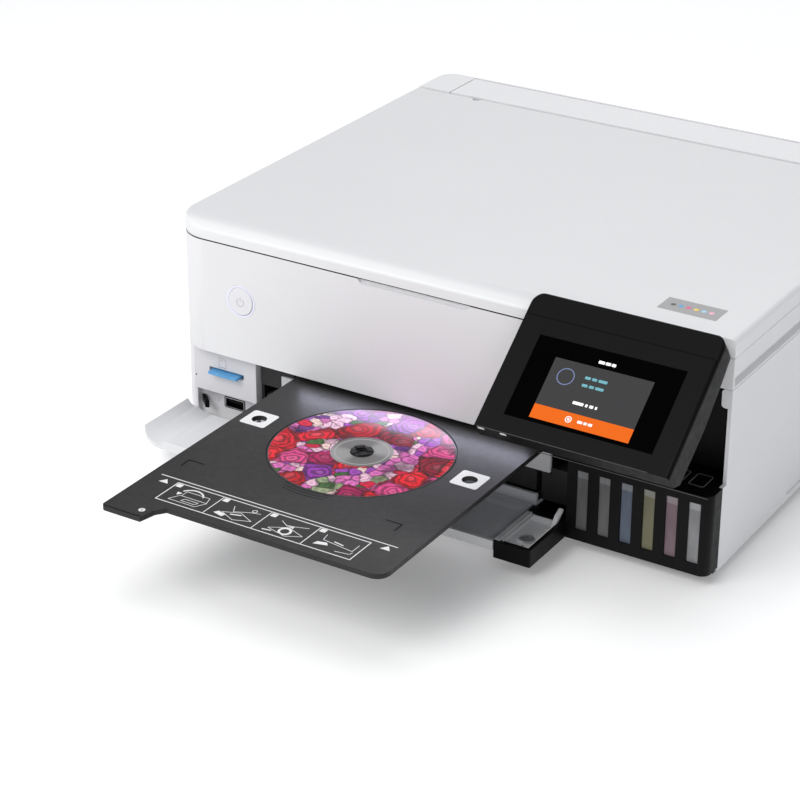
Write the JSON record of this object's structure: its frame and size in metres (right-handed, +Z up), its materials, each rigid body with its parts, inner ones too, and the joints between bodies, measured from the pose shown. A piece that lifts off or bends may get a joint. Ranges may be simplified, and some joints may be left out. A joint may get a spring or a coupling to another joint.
{
  "type": "inkjet multifunction printer",
  "caption": "Inkjet multifunction printer with flatbed scanner, tilting touch panel, open front cover, fed-out disc tray with a disc, ink tanks with windows and paper cassettes.",
  "frame": {"origin": "on the plane of the feet, 201.5 mm left of the body's right face and halfway along its 369 mm depth", "axes": "+X to the right seen from the front, +Y to the back, +Z up"},
  "size_m": [0.4085, 0.5711, 0.1673],
  "materials": {
    "dark_plastic": "matte moulded",
    "rubber_grey": "matte",
    "white_plastic": "fine satin texture",
    "ring_clear": "translucent satin",
    "button_white": "satin",
    "bright_steel": "satin",
    "black_plastic": "fine satin texture",
    "ink_1": "translucent wall over ink",
    "ink_2": "translucent wall over ink",
    "ink_3": "translucent wall over ink",
    "ink_4": "translucent wall over ink",
    "ink_5": "translucent wall over ink",
    "ink_6": "translucent wall over ink",
    "cap_rubber": "matte",
    "grey_plastic": "matte moulded",
    "zinc_steel": "zinc plated",
    "belt_rubber": "matte",
    "gear_plastic": "moulded",
    "roller_rubber": "matte sleeves on a steel shaft",
    "board_green": "lacquered board",
    "card_blue": "satin",
    "liner_grey": "matte",
    "tray_black": "fine matte texture",
    "disc_print": "printed glossy face",
    "touch_glass": "polished",
    "display_dark": "glossy",
    "scanner_glass": "polished",
    "pad_white": "matte foam with a white sheet"
  },
  "bodies": {
    "housing": {"base_pan": "dark_plastic", "rubber_feet": "rubber_grey", "outer_housing": "white_plastic", "front_panel": "white_plastic", "power_ring": "ring_clear", "card_panel": "white_plastic", "card_socket": "bright_steel", "usb_port": "bright_steel", "ink_tank_case": "black_plastic", "ink_tank_1": "ink_1", "ink_tank_2": "ink_2", "ink_tank_3": "ink_3", "ink_tank_4": "ink_4", "ink_tank_5": "ink_5", "ink_tank_6": "ink_6", "tank_caps": "cap_rubber", "panel_recess": "black_plastic", "mouth_frame": "dark_plastic", "rear_cover": "white_plastic", "paper_feeder": "grey_plastic", "hinge_pins": "bright_steel", "chassis_rail": "zinc_steel", "timing_belt": "belt_rubber", "carriage_motor": "zinc_steel", "platen": "dark_plastic", "maintenance_unit": "grey_plastic", "mainboard": "board_green", "power_supply": "grey_plastic", "power_inlet": "black_plastic", "rear_ports": "black_plastic", "feed_motor": "zinc_steel"},
    "drive_pulley": {"drive_pulley": "gear_plastic"},
    "idler_pulley": {"idler_pulley": "gear_plastic"},
    "feed_roller": {"feed_roller": "roller_rubber"},
    "motor_pinion": {"motor_pinion": "gear_plastic"},
    "power_button": {"power_button": "button_white"},
    "sd_card": {"sd_card": "card_blue"},
    "front_cover": {"front_cover": "white_plastic", "front_cover_liner": "liner_grey", "front_cover_end": "black_plastic"},
    "disc_tray": {"disc_tray": "tray_black"},
    "disc": {"disc": "disc_print"},
    "output_tray": {"output_tray": "dark_plastic"},
    "photo_cassette": {"photo_cassette": "dark_plastic"},
    "paper_cassette": {"paper_cassette": "liner_grey"},
    "carriage": {"carriage": "dark_plastic", "print_head": "black_plastic"},
    "scanner_unit": {"scanner_base": "white_plastic", "scanner_glass": "scanner_glass"},
    "control_panel": {"panel_housing": "black_plastic", "touch_glass": "touch_glass", "display_module": "display_dark"},
    "scan_carriage": {"scan_carriage": "black_plastic"},
    "document_cover": {"document_cover": "white_plastic", "cover_pad": "pad_white"},
    "tank_cover": {"tank_cover": "black_plastic"},
    "rear_feed_cover": {"rear_feed_cover": "white_plastic"},
    "paper_support": {"paper_support": "grey_plastic"},
    "edge_guide_left": {"edge_guide_left": "grey_plastic"},
    "edge_guide_right": {"edge_guide_right": "grey_plastic"}
  },
  "joints": [
    {"name": "front_cover_hinge", "type": "hinge", "parent": "housing", "child": "front_cover", "pos_m": [-0.025, -0.1785, 0.014], "axis": [1, 0, 0], "range_deg": [-52, 0]},
    {"name": "scanner_lift", "type": "hinge", "parent": "housing", "child": "scanner_unit", "pos_m": [0, 0.1374, 0.159], "axis": [-1, 0, 0], "range_deg": [0, 30]},
    {"name": "document_cover_hinge", "type": "hinge", "parent": "scanner_unit", "child": "document_cover", "pos_m": [0, 0.1374, 0.159], "axis": [-1, 0, 0], "range_deg": [0, 60]},
    {"name": "control_panel_tilt", "type": "hinge", "parent": "scanner_unit", "child": "control_panel", "pos_m": [0.136, -0.1722, 0.1524], "axis": [-1, 0, 0], "range_deg": [-51, 13.5]},
    {"name": "tank_cover_hinge", "type": "hinge", "parent": "housing", "child": "tank_cover", "pos_m": [0.1515, -0.0925, 0.112], "axis": [-1, 0, 0], "range_deg": [0, 34]},
    {"name": "rear_feed_cover_hinge", "type": "hinge", "parent": "housing", "child": "rear_feed_cover", "pos_m": [0, 0.1786, 0.1603], "axis": [1, 0, 0], "range_deg": [-105, 0]},
    {"name": "paper_support_slide", "type": "slide", "parent": "rear_feed_cover", "child": "paper_support", "axis": [0, -1, 0], "range_m": [0, 0.026]},
    {"name": "carriage_slide", "type": "slide", "parent": "housing", "child": "carriage", "axis": [-1, 0, 0], "range_m": [0, 0.29]},
    {"name": "drive_pulley_spin", "type": "hinge", "parent": "housing", "child": "drive_pulley", "pos_m": [0.17, 0.057, 0.106], "axis": [0, 1, 0], "range_deg": [-2, 2800]},
    {"name": "idler_pulley_spin", "type": "hinge", "parent": "housing", "child": "idler_pulley", "pos_m": [-0.17, 0.057, 0.106], "axis": [0, 1, 0], "range_deg": [-2, 2800]},
    {"name": "feed_roller_spin", "type": "hinge", "parent": "housing", "child": "feed_roller", "pos_m": [-0.02, 0.072, 0.056], "axis": [1, 0, 0], "continuous": true},
    {"name": "motor_pinion_spin", "type": "hinge", "parent": "housing", "child": "motor_pinion", "pos_m": [-0.152, 0.104, 0.056], "axis": [1, 0, 0], "continuous": true},
    {"name": "scan_carriage_slide", "type": "slide", "parent": "scanner_unit", "child": "scan_carriage", "axis": [1, 0, 0], "range_m": [0, 0.31]},
    {"name": "disc_tray_slide", "type": "slide", "parent": "housing", "child": "disc_tray", "axis": [0, 1, 0], "range_m": [0, 0.156]},
    {"name": "disc_lift", "type": "slide", "parent": "disc_tray", "child": "disc", "axis": [0, 0, -1], "range_m": [-0.05, 0]},
    {"name": "output_tray_slide", "type": "slide", "parent": "housing", "child": "output_tray", "axis": [0, -1, 0], "range_m": [0, 0.1]},
    {"name": "photo_cassette_slide", "type": "slide", "parent": "housing", "child": "photo_cassette", "axis": [0, -1, 0], "range_m": [0, 0.12]},
    {"name": "paper_cassette_slide", "type": "slide", "parent": "housing", "child": "paper_cassette", "axis": [0, -1, 0], "range_m": [0, 0.15]},
    {"name": "power_button_press", "type": "slide", "parent": "housing", "child": "power_button", "axis": [0, 1, 0], "range_m": [0, 0.001], "stiffness_N_per_m": 300},
    {"name": "sd_card_slide", "type": "slide", "parent": "housing", "child": "sd_card", "axis": [0, -1, 0], "range_m": [-0.001, 0.026]},
    {"name": "edge_guide_left_slide", "type": "slide", "parent": "housing", "child": "edge_guide_left", "axis": [1, 0, 0], "range_m": [0, 0.054]},
    {"name": "edge_guide_right_slide", "type": "slide", "parent": "housing", "child": "edge_guide_right", "axis": [-1, 0, 0], "range_m": [0, 0.054]}
  ],
  "couplings": [
    {"joint": "tank_cover_hinge", "follows": "scanner_lift", "ratio": 1.1},
    {"joint": "paper_support_slide", "follows": "rear_feed_cover_hinge", "m_per_rad": -0.0136},
    {"joint": "drive_pulley_spin", "follows": "carriage_slide", "rad_per_m": 166.67},
    {"joint": "idler_pulley_spin", "follows": "carriage_slide", "rad_per_m": 166.67},
    {"joint": "motor_pinion_spin", "follows": "feed_roller_spin", "ratio": -3},
    {"joint": "edge_guide_right_slide", "follows": "edge_guide_left_slide", "ratio": 1}
  ]
}
